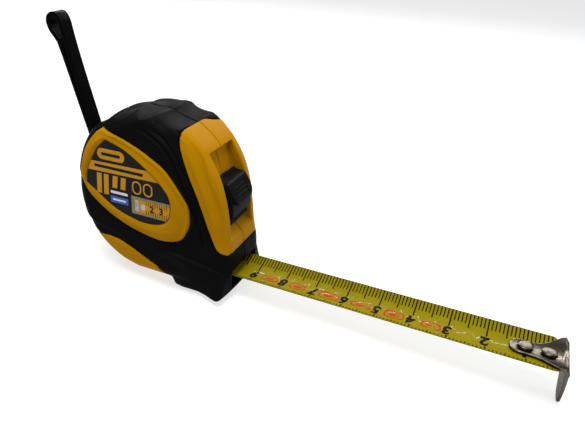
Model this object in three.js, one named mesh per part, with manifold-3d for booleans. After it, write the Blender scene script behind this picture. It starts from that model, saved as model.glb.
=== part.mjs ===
// Pocket tape measure with a locking blade, as an assembly of separate solids.
//
// Units are millimetres. +X is the way the blade pulls out, +Z is up and +Y is away from
// the labelled side. The origin is on the flat base, on the mid-plane between the two
// shells, so the base is z = 0. The blade is shown pulled out and locked.

import * as THREE from 'three';
import { mergeVertices } from 'three/addons/utils/BufferGeometryUtils.js';
import Module from 'manifold-3d';

const wasm = await Module();
wasm.setup();

// ---------------------------------------------------------------- driving dimensions

const GAP = 0.3;                  // clearance between neighbouring pieces
const FAR = 80;                   // larger than the case in any direction

// case
const HALF_WIDTH = 17;            // half the case width at the flat of each side
const CROWN_REACH = 15;           // how far in Y the crowned edge runs
const CROWN_DROP = 7.6;           // how much the outline shrinks over the crown
const RUBBER = 1.7;               // thickness of the rubber grip over the shell
const FOOT_HALF = 17.2;           // half-width of the foot around the mouth
const SEAM_LEFT = 0.15;           // the left shell ends here, just past the mid-plane
const SEAM_RIGHT = 0.45;          // the right shell starts here

// spool and coil
const AXIS_X = -4;                // spool axis
const AXIS_Z = 28;
const CAVITY_R = 20.6;
const CAVITY_HALF = 12.2;
const COIL_R = 19.6;              // outside of the wound blade
const BARREL_R = 15.7;
const BARREL_WALL = 1.4;
const FLANGE_R = 20.1;
const ARBOR_R = 3.2;
const ARBOR_HALF = 13.4;
const SPRING_TURNS = 6;
const SPRING_THICK = 0.5;

// blade
const BLADE_HALF = 7.6;           // half the chord of the curved blade
const BLADE_SAG = 2.4;            // depth of the blade's curve
const BLADE_THICK = 0.3;
const BLADE_EDGE_Z = 6;           // height of the blade's raised edges
const BLADE_START = 8;            // inner end, inside the mouth channel
const BLADE_END = 119.8;
const BLADE_R = (BLADE_HALF ** 2 + BLADE_SAG ** 2) / (2 * BLADE_SAG);

// hook
const HOOK_FACE = 121.5;          // outer face of the drop plate, the zero of the scale
const HOOK_THICK = 0.8;
const HOOK_TIP_Z = -8.1;
const TONGUE_END = 107.2;
const TONGUE_HALF = 3.1;
const HOOK_FLOAT = 0.8;           // how far the hook slides on its rivets
const RIVET_FRONT_X = 116.8;
const RIVET_REAR_X = 111;
const RIVET_R = 0.95;
const RIVET_HEAD_R = 1.9;

// lock button recess, in a local frame on the sloping front
const FRONT_FOOT = [25.6, 18];    // x and z of the recess's lower edge
const FRONT_LEAN = Math.atan2(8.1, 28.2);
const RECESS_HALF = 7.1;
const RECESS_HEIGHT = 29.3;
const RECESS_DEPTH = 2.2;

// strap
const PIN_X = -28.6;
const PIN_Z = 33;
const PIN_R = 1.1;
const STRAP_HALF = 2.7;           // half the strap's width
const STRAP_THICK = 1.3;          // one leg
const STRAP_LEAN = THREE.MathUtils.degToRad(18);
const STRAP_LENGTH = 48.5;        // pin to the centre of the loop's eye

// ---------------------------------------------------------------- materials

function material(color, roughness, metalness = 0) {
  return new THREE.MeshStandardMaterial({ color, roughness, metalness });
}

const YELLOW = material(0xe8a000, 0.42);
const RUBBER_BLACK = material(0x1b1b1c, 0.75);
const BLACK_PLASTIC = material(0x222224, 0.5);
const LABEL = material(0x2a2a2c, 0.35);
const WHITE_PLASTIC = material(0xd8d8d2, 0.5);
const STEEL = material(0x9a9a98, 0.35, 1);
const SPRING_STEEL = material(0x56606e, 0.4, 1);
const BLADE_YELLOW = material(0xb9b01c, 0.35, 0.1);
const STRAP_BLACK = material(0x101011, 0.6);

// ---------------------------------------------------------------- solid helpers

function solidOf(geometry) {
  const bare = geometry.index ? geometry.clone() : geometry;
  bare.deleteAttribute('normal');
  bare.deleteAttribute('uv');
  const merged = mergeVertices(bare, 1e-4);
  return new wasm.Manifold(new wasm.Mesh({
    numProp: 3,
    vertProperties: new Float32Array(merged.attributes.position.array),
    triVerts: new Uint32Array(merged.index.array),
  }));
}

function geometryOf(solid) {
  const mesh = solid.getMesh();
  const geometry = new THREE.BufferGeometry();
  geometry.setAttribute('position', new THREE.BufferAttribute(mesh.vertProperties, 3));
  geometry.setIndex(new THREE.BufferAttribute(mesh.triVerts, 1));
  geometry.computeVertexNormals();
  return geometry;
}

function joined(...solids) {
  return solids.reduce((sum, solid) => sum.add(solid));
}

function shapeOf(points) {
  return new THREE.Shape(points.map(([x, y]) => new THREE.Vector2(x, y)));
}

// A smooth closed outline through a few points, in the order given.
function smoothOutline(points, steps) {
  const curve = new THREE.SplineCurve([...points, points[0]].map(([x, y]) => new THREE.Vector2(x, y)));
  return curve.getPoints(steps).slice(0, -1).map((p) => [p.x, p.y]);
}

// An outline moved outwards by a distance; a negative distance moves it inwards.
function offsetOutline(points, distance) {
  const clockwise = THREE.ShapeUtils.isClockWise(points.map(([x, y]) => new THREE.Vector2(x, y)));
  const side = clockwise ? -distance : distance;
  return points.map(([x, y], i) => {
    const [ax, ay] = points[(i + points.length - 1) % points.length];
    const [bx, by] = points[(i + 1) % points.length];
    const before = new THREE.Vector2(x - ax, y - ay).normalize();
    const after = new THREE.Vector2(bx - x, by - y).normalize();
    const along = before.clone().add(after).normalize();
    const stretch = 1 / Math.max(0.5, along.dot(after));
    return [x + along.y * side * stretch, y - along.x * side * stretch];
  });
}

// A side-view outline (x, z) extruded across the case from y0 to y1.
function acrossGeometry(shape, y0, y1, bevel = {}) {
  const { reach = 0, drop = 0, segments = 5 } = bevel;
  const geometry = new THREE.ExtrudeGeometry(shape, {
    depth: y1 - y0 - 2 * reach,
    bevelEnabled: reach > 0,
    bevelThickness: reach,
    bevelSize: drop,
    bevelOffset: -drop,
    bevelSegments: segments,
    curveSegments: 10,
  });
  geometry.rotateX(Math.PI / 2);
  geometry.translate(0, y1 - reach, 0);
  return geometry;
}

function across(points, y0, y1, bevel) {
  return solidOf(acrossGeometry(shapeOf(points), y0, y1, bevel));
}

// A plan-view outline (x, y) extruded upwards from z0 to z1.
function upwards(points, z0, z1) {
  const geometry = new THREE.ExtrudeGeometry(shapeOf(points), { depth: z1 - z0, bevelEnabled: false });
  geometry.translate(0, 0, z0);
  return solidOf(geometry);
}

// A front-view outline (y, z) extruded along the blade from x0 to x1.
function alongGeometry(points, x0, x1) {
  const geometry = new THREE.ExtrudeGeometry(shapeOf(points), { depth: x1 - x0, bevelEnabled: false });
  const basis = new THREE.Matrix4().makeBasis(
    new THREE.Vector3(0, 1, 0),
    new THREE.Vector3(0, 0, 1),
    new THREE.Vector3(1, 0, 0),
  );
  geometry.applyMatrix4(basis);
  geometry.translate(x0, 0, 0);
  return geometry;
}

function along(points, x0, x1) {
  return solidOf(alongGeometry(points, x0, x1));
}

// A ring or disc turned about the Y axis; the profile is (radius, y), closed on itself.
function turned(profile, x, z, segments = 40) {
  const outline = [...profile, profile[0]].map(([r, y]) => new THREE.Vector2(r, y));
  const geometry = new THREE.LatheGeometry(outline, segments);
  geometry.translate(x, 0, z);
  const solid = solidOf(geometry);
  return solid.volume() > 0 ? solid : solidOf(flipped(geometry));
}

function flipped(geometry) {
  const index = geometry.index.array.slice();
  for (let i = 0; i < index.length; i += 3) {
    [index[i], index[i + 1]] = [index[i + 1], index[i]];
  }
  const out = geometry.clone();
  out.setIndex(new THREE.BufferAttribute(index, 1));
  return out;
}

// A plain round bar across the case.
function bar(radius, x, z, y0, y1, segments = 20) {
  const geometry = new THREE.CylinderGeometry(radius, radius, y1 - y0, segments);
  geometry.translate(x, (y0 + y1) / 2, z);
  return solidOf(geometry);
}

// A plain upright round bar.
function post(radius, x, y, z0, z1, segments = 20) {
  const geometry = new THREE.CylinderGeometry(radius, radius, z1 - z0, segments);
  geometry.rotateX(Math.PI / 2);
  geometry.translate(x, y, (z0 + z1) / 2);
  return solidOf(geometry);
}

function block(x0, y0, z0, x1, y1, z1) {
  const geometry = new THREE.BoxGeometry(x1 - x0, y1 - y0, z1 - z0);
  geometry.translate((x0 + x1) / 2, (y0 + y1) / 2, (z0 + z1) / 2);
  return solidOf(geometry);
}

// A point on the sloping front: n is out of the front, u is up along it.
function frontPoint([n, u]) {
  const c = Math.cos(FRONT_LEAN);
  const s = Math.sin(FRONT_LEAN);
  return [FRONT_FOOT[0] + n * c - u * s, FRONT_FOOT[1] + n * s + u * c];
}

// ---------------------------------------------------------------- outlines of the case

// The parting line seen from the side. The rear is a smooth bulge and the top has
// finger facets; the front slopes and the base is flat.
const REAR = [
  [-6.5, 0], [-13.5, 1.9], [-20.4, 5.9], [-26, 11.6], [-30.2, 19.5], [-32, 27.5],
  [-31.8, 34.5], [-29.8, 42], [-26.4, 48], [-21.5, 51.6],
];
const TOP = [[-16.6, 54], [-11.8, 55.3], [-4.7, 56.3], [0.6, 56.6], [5.4, 55.2], [9.3, 53]];
const FRONT = [[12, 51.2], [15, 48.7], [17.5, 46.2], [25.6, 18], [26.6, 12], [24.8, 5.4], [20.4, 1.4], [14, 0]];

function caseOutline() {
  const rear = new THREE.SplineCurve(REAR.map(([x, z]) => new THREE.Vector2(x, z)));
  return [...rear.getPoints(22).map((p) => [p.x, p.y]), ...TOP, ...FRONT];
}

// How the case narrows towards its front, as (setback behind the front, half-width).
const NOSE = [[0, 8], [-0.5, 10.4], [-1.6, 11.8], [-4, 12.8], [-8, 13.9], [-13, 15.6], [-18, 17], [-24, 18.5], [-90, 19]];

// The foot around the mouth, seen from the side.
const FOOT = [[4.6, 0], [4.9, 11.5], [9, 15], [20, 13.4], [26.6, 10.6], [26.6, 0]];
// Half of the foot's front view, as (half-width, height).
const FLARE = [[FOOT_HALF, 0], [FOOT_HALF, 1.6], [16.5, 5], [15.2, 10.5], [14.2, 16]];

// Areas where the yellow shell shows through the rubber, seen from the side.
const RING = smoothOutline([
  [-17.8, 50.5], [-10, 49.6], [-4, 47.7], [4.9, 43.5], [10.6, 38], [14.2, 31], [14.6, 24],
  [12, 19.4], [7, 17.1], [-2, 18], [-12, 20.8], [-21, 25.4], [-25.7, 30.3], [-26.4, 36],
  [-23.8, 43],
], 52);
const LABEL_AREA = smoothOutline([
  [-16.4, 47.6], [-6.2, 43.8], [2.5, 37.9], [6.9, 31.5], [7.2, 26.5], [4.5, 22.7],
  [-1.2, 21.6], [-11, 23.9], [-20.9, 28.5], [-25, 31.6], [-22.4, 40],
], 40);
const BEZEL = [
  [9.5, 60], [9.5, 52], [10.2, 48], [12.1, 42.4], [14.6, 35.6], [19, 23.7], [21, 18.4],
  [22.6, 15.4], [24.6, 14.3], [40, 14.3], [40, 60],
];
const INSERT = [
  [-34, 8], [-25.5, 12.4], [-20.7, 13.6], [-16, 13.8], [-12, 13.2], [-7, 11.3], [-1, 8.6],
  [3, 7], [4.2, 5], [4.2, -5], [-34, -5],
];

// ---------------------------------------------------------------- case solids

// The case's outer form, shrunk on every side by an inset.
function bodyForm(inset) {
  const half = HALF_WIDTH - inset;
  const outline = offsetOutline(caseOutline(), -inset).map(([x, z]) => [x, Math.max(z, inset)]);
  const crown = { reach: CROWN_REACH - inset, drop: CROWN_DROP - inset, segments: 5 };
  const drum = across(outline, -half, half, crown);
  const noseSide = NOSE.map(([x, y]) => [x - inset, y - inset]);
  const nose = upwards([...noseSide.map(([x, y]) => [x, -y]), ...noseSide.reverse()], -FAR, FAR);
  const lean = -Math.tan(FRONT_LEAN);
  const lower = FRONT_FOOT[0] - lean * FRONT_FOOT[1];
  const sheared = nose.transform([1, 0, 0, 0, 0, 1, 0, 0, lean, 0, 1, 0, lower + 0.9, 0, 0, 1]);
  const footBlock = across(
    offsetOutline(FOOT, -inset).map(([x, z]) => [x, Math.max(z, inset)]),
    -FOOT_HALF + inset,
    FOOT_HALF - inset,
    { reach: 1.6, drop: 1.6, segments: 2 },
  );
  const flareSide = FLARE.map(([y, z]) => [y - inset, z]);
  const flare = along([...flareSide, ...flareSide.map(([y, z]) => [-y, z]).reverse()], 0, 30);
  return joined(drum.intersect(sheared), footBlock.intersect(flare));
}

function yellowAreas(grow) {
  return joined(
    across(offsetOutline(RING, grow), -FAR, FAR),
    across(offsetOutline(BEZEL, grow), -FAR, FAR),
    across(offsetOutline(INSERT, grow), -FAR, FAR),
  );
}

const SCREWS = [[-20.2, 11.8], [-17.2, 46.8], [6.8, 48.3], [15.8, 10.8]];
const SCREW_HEAD_R = 1.6;
const SCREW_SHANK_R = 0.9;
const SCREW_HEAD_Y = 12.5;        // under the head, in the right shell
const SCREW_HEAD_HEIGHT = 1.2;
const SCREW_TIP_Y = -6;

// Everything that is empty inside the case.
function hollow() {
  const drum = bar(CAVITY_R, AXIS_X, AXIS_Z, -CAVITY_HALF, CAVITY_HALF, 48);
  const brakeWell = across(
    [[9, 44], [14.2, 44], [21.6, 18], [22.6, 7.5], [20.1, 7], [17.9, 14.6], [15, 16.5], [14, 20]],
    -8.6,
    8.6,
  );
  const channel = across([[-10, 7.2], [-4, 1.7], [40, 1.7], [40, 7.8], [14, 8.4], [0, 9.2]], -8.9, 8.9);
  const recess = across([[-RECESS_DEPTH, 0], [6, -1.2], [6, RECESS_HEIGHT + 1.2],
    [-RECESS_DEPTH, RECESS_HEIGHT]].map(frontPoint), -RECESS_HALF, RECESS_HALF);
  const buttonHole = across([[-8, 6.5], [0, 6.5], [0, 24.5], [-8, 24.5]].map(frontPoint), -3.3, 3.3);
  const strapSlot = across([[-25.7, 31], [-25.7, 36.5], [-28.2, 45.5], [-40, 50], [-40, 18], [-31, 24.5],
    [-27, 29.4]], -STRAP_HALF - 0.5, STRAP_HALF + 0.5);
  const pinHole = bar(PIN_R + GAP, PIN_X, PIN_Z, -6 - GAP, 6 + GAP, 16);
  const arborSeats = bar(ARBOR_R + GAP, AXIS_X, AXIS_Z, -ARBOR_HALF - GAP, ARBOR_HALF + GAP, 24);
  const screwHoles = SCREWS.map(([x, z]) => joined(
    bar(SCREW_SHANK_R + GAP, x, z, SCREW_TIP_Y - GAP, FAR, 12),
    bar(SCREW_HEAD_R + GAP, x, z, SCREW_HEAD_Y - GAP, FAR, 20),
  ));
  return joined(drum, brakeWell, channel, recess, buttonHole, strapSlot, pinHole, arborSeats, ...screwHoles);
}

// Bosses on the inside of each shell that carry the arbor and locate the spool.
function arborBosses() {
  const profile = (side) => [
    [ARBOR_R + GAP, side * (CAVITY_HALF + 0.6)], [5.4, side * (CAVITY_HALF + 0.6)],
    [5.4, side * 9.9], [ARBOR_R + GAP, side * 9.9],
  ];
  return joined(turned(profile(-1), AXIS_X, AXIS_Z, 24), turned(profile(1), AXIS_X, AXIS_Z, 24));
}

const LABEL_DEPTH = 1.2;
const LABEL_THICK = 0.5;

function labelPockets(grow) {
  const outline = offsetOutline(LABEL_AREA, grow);
  return joined(
    across(outline, -FAR, -HALF_WIDTH + LABEL_DEPTH),
    across(outline, HALF_WIDTH - LABEL_DEPTH, FAR),
  );
}

const outer = bodyForm(0);
const core = bodyForm(RUBBER);
const empty = hollow();
const areas = yellowAreas(0);
const areasWithGap = yellowAreas(GAP);
const coreWithGap = bodyForm(RUBBER - GAP);
const leftSide = block(-FAR, -FAR, -FAR, FAR, SEAM_LEFT, FAR);
const rightSide = block(-FAR, SEAM_RIGHT, -FAR, FAR, FAR, FAR);

const shell = joined(core, outer.intersect(areas))
  .subtract(empty)
  .subtract(labelPockets(0))
  .add(arborBosses());
const grip = outer.subtract(coreWithGap).subtract(areasWithGap).subtract(empty);

// The largest single body of a cut piece, without loose slivers.
function mainBody(solid) {
  return solid.decompose().reduce((best, part) => (part.volume() > best.volume() ? part : best));
}

function label(side) {
  const outline = offsetOutline(LABEL_AREA, -GAP);
  const floor = HALF_WIDTH - LABEL_DEPTH + GAP;
  return side < 0
    ? across(outline, -floor - LABEL_THICK, -floor)
    : across(outline, floor, floor + LABEL_THICK);
}

// ---------------------------------------------------------------- fasteners

function screw([x, z]) {
  const headTop = SCREW_HEAD_Y + SCREW_HEAD_HEIGHT;
  const body = joined(
    bar(SCREW_HEAD_R, x, z, SCREW_HEAD_Y, headTop, 20),
    bar(SCREW_SHANK_R, x, z, SCREW_TIP_Y, SCREW_HEAD_Y + 0.5, 12),
  );
  const slot = joined(
    block(x - 1.1, headTop - 0.6, z - 0.22, x + 1.1, FAR, z + 0.22),
    block(x - 0.22, headTop - 0.6, z - 1.1, x + 0.22, FAR, z + 1.1),
  );
  return body.subtract(slot);
}

function strapPin() {
  return bar(PIN_R, PIN_X, PIN_Z, -6, 6, 16);
}

// The post that the spool turns on; the spring's inner end is held in its slit.
function arbor() {
  const postBar = bar(ARBOR_R, AXIS_X, AXIS_Z, -ARBOR_HALF, ARBOR_HALF, 24);
  const slit = block(AXIS_X - 0.5, -7.6, AXIS_Z, AXIS_X + 0.5, 7.6, AXIS_Z + 8);
  return postBar.subtract(slit);
}

// ---------------------------------------------------------------- spool

function spool() {
  const bore = ARBOR_R + GAP;
  return turned([
    [bore, -9.4], [FLANGE_R, -9.4], [FLANGE_R, -8.4], [BARREL_R, -8.4], [BARREL_R, 7.6],
    [BARREL_R - BARREL_WALL, 7.6], [BARREL_R - BARREL_WALL, -8], [bore, -8],
  ], AXIS_X, AXIS_Z, 44);
}

function spoolCover() {
  const bore = ARBOR_R + GAP;
  return turned([[bore, 8], [FLANGE_R, 8], [FLANGE_R, 9], [bore, 9]], AXIS_X, AXIS_Z, 44);
}

// The spiral strip that winds the blade back.
function mainspring() {
  const inner = ARBOR_R + 0.7;
  const pitch = (BARREL_R - BARREL_WALL - 0.5 - SPRING_THICK - inner) / SPRING_TURNS;
  const steps = SPRING_TURNS * 20;
  const edge = (offset) => Array.from({ length: steps + 1 }, (_, i) => {
    const turn = i / 20;
    const radius = inner + offset + pitch * turn;
    const angle = Math.PI / 2 + turn * 2 * Math.PI;
    return [AXIS_X + radius * Math.cos(angle), AXIS_Z + radius * Math.sin(angle)];
  });
  return across([...edge(0), ...edge(SPRING_THICK).reverse()], -7, 7);
}

function tapeCoil() {
  const inside = BARREL_R + GAP;
  return turned([[inside, -7.8], [COIL_R, -7.8], [COIL_R, 7.6], [inside, 7.6]], AXIS_X, AXIS_Z, 44);
}

// The stretch of blade that comes off the coil and flattens into the mouth channel.
function tapeLead() {
  const line = new THREE.SplineCurve([
    new THREE.Vector2(-4.5, 7.1), new THREE.Vector2(-1, 6.6),
    new THREE.Vector2(3.5, 5.2), new THREE.Vector2(BLADE_START - GAP, 4.4),
  ]).getPoints(8);
  const top = line.map((p) => [p.x, p.y + BLADE_THICK / 2]);
  const bottom = line.map((p) => [p.x, p.y - BLADE_THICK / 2]).reverse();
  return across([...top, ...bottom], -BLADE_HALF, BLADE_HALF);
}

// ---------------------------------------------------------------- blade and hook

// Height of the blade's top face at a distance y from its middle.
function bladeTop(y) {
  return BLADE_EDGE_Z - BLADE_SAG + BLADE_R - Math.sqrt(BLADE_R ** 2 - y ** 2);
}

// A curved band that follows the blade, between two heights above its top face.
function bladeBand(half, low, high, x0, x1) {
  const steps = 10;
  const ys = Array.from({ length: steps + 1 }, (_, i) => half * (2 * i / steps - 1));
  const upper = ys.map((y) => [y, bladeTop(y) + high]);
  const lower = ys.map((y) => [y, bladeTop(y) + low]).reverse();
  return along([...lower, ...upper], x0, x1);
}

function blade() {
  const holes = [RIVET_REAR_X, RIVET_FRONT_X].map((x) => post(RIVET_R + GAP, x, 0, 0, 10, 12));
  const bevelled = upwards([
    [BLADE_START, -BLADE_HALF], [BLADE_END - 1.2, -BLADE_HALF], [BLADE_END, -BLADE_HALF + 1.2],
    [BLADE_END, BLADE_HALF - 1.2], [BLADE_END - 1.2, BLADE_HALF], [BLADE_START, BLADE_HALF],
  ], 0, 20);
  return bladeBand(BLADE_HALF, -BLADE_THICK, 0, BLADE_START, BLADE_END)
    .intersect(bevelled)
    .subtract(joined(...holes));
}

function hook() {
  const half = BLADE_HALF - 0.1;
  const neck = HOOK_FACE - 6.8;
  const side = [
    [TONGUE_END, 0.8], [TONGUE_END + 0.5, 1.9], [TONGUE_END + 1.6, 2.8], [TONGUE_END + 3, TONGUE_HALF],
    [neck - 1.5, TONGUE_HALF + 0.1], [neck + 0.6, TONGUE_HALF + 0.8], [HOOK_FACE - 3.4, half - 1.6],
    [HOOK_FACE - 1.6, half], [HOOK_FACE, half],
  ];
  const plan = upwards([...side.map(([x, y]) => [x, -y]), ...side.reverse()], 0, 20);
  const low = GAP;
  const plate = bladeBand(half, low, low + HOOK_THICK, TONGUE_END, HOOK_FACE).intersect(plan);
  const steps = 8;
  const ys = Array.from({ length: steps + 1 }, (_, i) => half * (2 * i / steps - 1));
  const top = ys.map((y) => [y, bladeTop(y) + low + HOOK_THICK]);
  const dropOutline = [
    ...top, [half, 2.6], [6, -1.4], [4, -5.4], [2.6, -7.3], [1, HOOK_TIP_Z], [-1, HOOK_TIP_Z],
    [-2.6, -7.3], [-4, -5.4], [-6, -1.4], [-half, 2.6],
  ];
  const drop = along(dropOutline, HOOK_FACE - HOOK_THICK, HOOK_FACE);
  const slots = [RIVET_REAR_X, RIVET_FRONT_X].map((x) => {
    const radius = RIVET_R + GAP;
    return joined(
      post(radius, x, 0, 0, 10, 16),
      post(radius, x + HOOK_FLOAT, 0, 0, 10, 16),
      block(x, -radius, 0, x + HOOK_FLOAT, radius, 10),
    );
  });
  return joined(plate, drop).subtract(joined(...slots));
}

function rivet(x) {
  const headLow = bladeTop(RIVET_HEAD_R) + GAP + HOOK_THICK + 0.2;
  const profile = [
    [0, 2.15], [1.5, 2.15], [1.5, 2.85], [RIVET_R, 2.85], [RIVET_R, headLow],
    [RIVET_HEAD_R, headLow], [RIVET_HEAD_R, headLow + 0.55], [RIVET_HEAD_R - 0.15, headLow + 0.7],
    [0, headLow + 0.7],
  ];
  const geometry = new THREE.LatheGeometry(profile.map(([r, z]) => new THREE.Vector2(r, z)), 20);
  geometry.rotateX(Math.PI / 2);
  geometry.translate(x, 0, 0);
  return solidOf(geometry);
}

// ---------------------------------------------------------------- lock

// The thumb button: a guard plate in the recess, a pad in front and a shank behind.
function lockButton() {
  const floor = -RECESS_DEPTH + GAP;
  const guard = across([[floor, 2.2], [floor + 0.9, 2.2], [floor + 0.9, 21.2], [floor, 21.2]].map(frontPoint),
    -6.6, 6.6);
  const pad = across([[floor + 0.5, 5.4], [0.6, 6], [1.9, 8], [3.6, 10.2], [4.4, 12.6], [4.1, 15.4],
    [2.9, 18.6], [1.4, 20.6], [0.4, 21.1], [floor + 0.5, 21.1]].map(frontPoint), -6.5, 6.5,
  { reach: 0.8, drop: 0.8, segments: 2 });
  const shank = across([[-4.6, 8], [0, 8], [0, 14.6], [-4.6, 14.6]].map(frontPoint), -2.9, 2.9);
  return joined(guard, pad, shank);
}

// The slide behind the front wall that presses on the blade when the button is down.
function lockBrake() {
  const window = across([[-4, 7.6], [-9, 7.6], [-9, 15], [-4, 15]].map(frontPoint), -3.2, 3.2);
  return across([
    ...[[-5.2, 17], [-4.3, 17], [-4.3, 1]].map(frontPoint),
    [21.5, 14], [21.9, 9], [22.1, 6.4], [20.7, 6.4], [20.5, 9], [20.5, 13],
    frontPoint([-5.2, 1]),
  ].reverse(), -6.8, 6.8).subtract(window);
}

// ---------------------------------------------------------------- strap

// A stiff folded strap: two legs from the pin up to a small teardrop loop.
function strap() {
  const ring = PIN_R + 0.25 + STRAP_THICK;
  const leg = STRAP_THICK + 0.1;
  const eye = 1.25;
  const bulge = eye + STRAP_THICK;
  const top = STRAP_LENGTH;
  const outline = new THREE.Shape();
  outline.absarc(0, 0, ring, Math.PI * 0.82, Math.PI * 2.18, false);
  outline.bezierCurveTo(leg, 4, leg, 5, leg, 8);
  outline.lineTo(leg + 0.1, top - 9);
  outline.bezierCurveTo(leg + 0.1, top - 5, bulge - 0.6, top - 3, bulge - 0.6, top);
  outline.absarc(-0.6, top, bulge, 0, Math.PI, false);
  outline.bezierCurveTo(-bulge - 0.6, top - 3, -leg - 0.1, top - 5, -leg - 0.1, top - 9);
  outline.lineTo(-leg, 8);
  outline.bezierCurveTo(-leg, 5, -leg, 4, ring * Math.cos(Math.PI * 0.82), ring * Math.sin(Math.PI * 0.82));
  const pinHole = new THREE.Path();
  pinHole.absarc(0, 0, PIN_R + 0.25, 0, Math.PI * 2, true);
  const loopEye = new THREE.Path();
  loopEye.absarc(-0.6, top, eye, 0, Math.PI, false);
  loopEye.quadraticCurveTo(-eye - 0.5, top - 2.4, -0.3, top - 5.2);
  loopEye.quadraticCurveTo(eye - 0.7, top - 2.4, eye - 0.6, top);
  outline.holes.push(pinHole, loopEye);
  const geometry = acrossGeometry(outline, -STRAP_HALF, STRAP_HALF);
  geometry.rotateY(-STRAP_LEAN);
  geometry.translate(PIN_X, 0, PIN_Z);
  return solidOf(geometry);
}

// ---------------------------------------------------------------- assembly

const tapeMeasure = new THREE.Group();

function place(name, solid, look) {
  const mesh = new THREE.Mesh(geometryOf(solid), look);
  mesh.name = name;
  tapeMeasure.add(mesh);
}

place('case_left', mainBody(shell.intersect(leftSide)), YELLOW);
place('case_right', mainBody(shell.intersect(rightSide)), YELLOW);
place('grip_left', mainBody(grip.intersect(leftSide)), RUBBER_BLACK);
place('grip_right', mainBody(grip.intersect(rightSide)), RUBBER_BLACK);
place('label_left', label(-1), LABEL);
place('label_right', label(1), LABEL);
SCREWS.forEach((spot, i) => place(`case_screw_${i + 1}`, screw(spot), STEEL));
place('arbor', arbor(), STEEL);
place('spool', spool(), WHITE_PLASTIC);
place('spool_cover', spoolCover(), WHITE_PLASTIC);
place('mainspring', mainspring(), SPRING_STEEL);
place('tape_coil', tapeCoil(), BLADE_YELLOW);
place('tape_lead', tapeLead(), BLADE_YELLOW);
place('blade', blade(), BLADE_YELLOW);
place('hook', hook(), STEEL);
place('hook_rivet_front', rivet(RIVET_FRONT_X), STEEL);
place('hook_rivet_rear', rivet(RIVET_REAR_X), STEEL);
place('lock_button', lockButton(), BLACK_PLASTIC);
place('lock_brake', lockBrake(), BLACK_PLASTIC);
place('strap', strap(), STRAP_BLACK);
place('strap_pin', strapPin(), STEEL);

export default tapeMeasure;
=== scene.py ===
"""Detailed model of a locking pocket tape measure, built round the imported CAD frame."""

import math

import bmesh
import bpy
import numpy as np
from mathutils import Matrix, Vector
from mathutils.geometry import tessellate_polygon


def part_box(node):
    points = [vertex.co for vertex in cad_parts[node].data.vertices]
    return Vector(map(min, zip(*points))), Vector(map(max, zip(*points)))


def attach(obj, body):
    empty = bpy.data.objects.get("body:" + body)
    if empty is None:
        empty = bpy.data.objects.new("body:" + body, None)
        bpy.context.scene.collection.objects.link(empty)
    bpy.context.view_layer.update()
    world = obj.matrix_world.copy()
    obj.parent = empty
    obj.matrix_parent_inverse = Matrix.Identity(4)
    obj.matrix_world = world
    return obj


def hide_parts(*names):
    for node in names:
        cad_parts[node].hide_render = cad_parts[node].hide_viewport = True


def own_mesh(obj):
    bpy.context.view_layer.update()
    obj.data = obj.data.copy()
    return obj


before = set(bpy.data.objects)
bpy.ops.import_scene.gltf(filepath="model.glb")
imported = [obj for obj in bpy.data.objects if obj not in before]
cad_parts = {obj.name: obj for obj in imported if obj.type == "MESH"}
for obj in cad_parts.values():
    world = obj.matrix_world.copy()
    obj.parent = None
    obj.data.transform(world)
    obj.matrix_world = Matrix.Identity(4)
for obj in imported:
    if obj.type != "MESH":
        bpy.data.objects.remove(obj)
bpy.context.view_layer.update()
scene = bpy.context.scene
MM = 0.001

# ======================================== case, as distance fields
# The shells and grips are moulded forms: each is a field of signed distances in millimetres,
# negative inside, turned into a closed mesh of quads. Both halves share one form, mirrored.

STEP = 0.3      # between the points where a field is known
gx = np.arange(-33.6, 29.2, STEP, dtype=np.float32)
gy = np.arange(0.0, 18.9, STEP, dtype=np.float32) - 0.6
gz = np.arange(-1.2, 58.6, STEP, dtype=np.float32)
SX, SZ = np.meshgrid(gx, gz, indexing="ij")
X, Y, Z = gx[:, None, None], gy[None, :, None], gz[None, None, :]
SIDE = np.abs(Y)

FLAT = 17.05                       # half the case's width, at the ring's flat rim
CROWN_REACH = 15.0                 # the drum's rounded edge: across the case, and inwards
CROWN_DROP = 7.6
CORE_DEPTH = 1.8                   # of the shell under the rubber
AXIS = (-4.0, 28.0)                # spool
STRAP_PIN = (-28.6, 33.0)
FRONT_ORIGIN = (25.6, 18.0)        # where the distances along the sloping front start
FRONT_LEAN = math.atan2(8.1, 28.2)
SHARP = math.radians(42)           # a corner sharper than this is not shaded smooth


def spline(points, closed=True, steps=8):
    """Points along a smooth line through the given ones."""
    p = np.array(points, float)
    if closed:
        p = np.vstack([p[-1], p, p[0], p[1]])
    else:
        p = np.vstack([2 * p[0] - p[1], p, 2 * p[-1] - p[-2]])
    out = []
    for a, b, c, d in zip(p, p[1:], p[2:], p[3:]):
        square, cube = 2 * a - 5 * b + 4 * c - d, 3 * b - a - 3 * c + d
        for t in np.arange(steps) / steps:
            out.append(0.5 * (2 * b + (c - a) * t + square * t * t + cube * t ** 3))
    if not closed:
        out.append(p[-2])
    return np.array(out)


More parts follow.
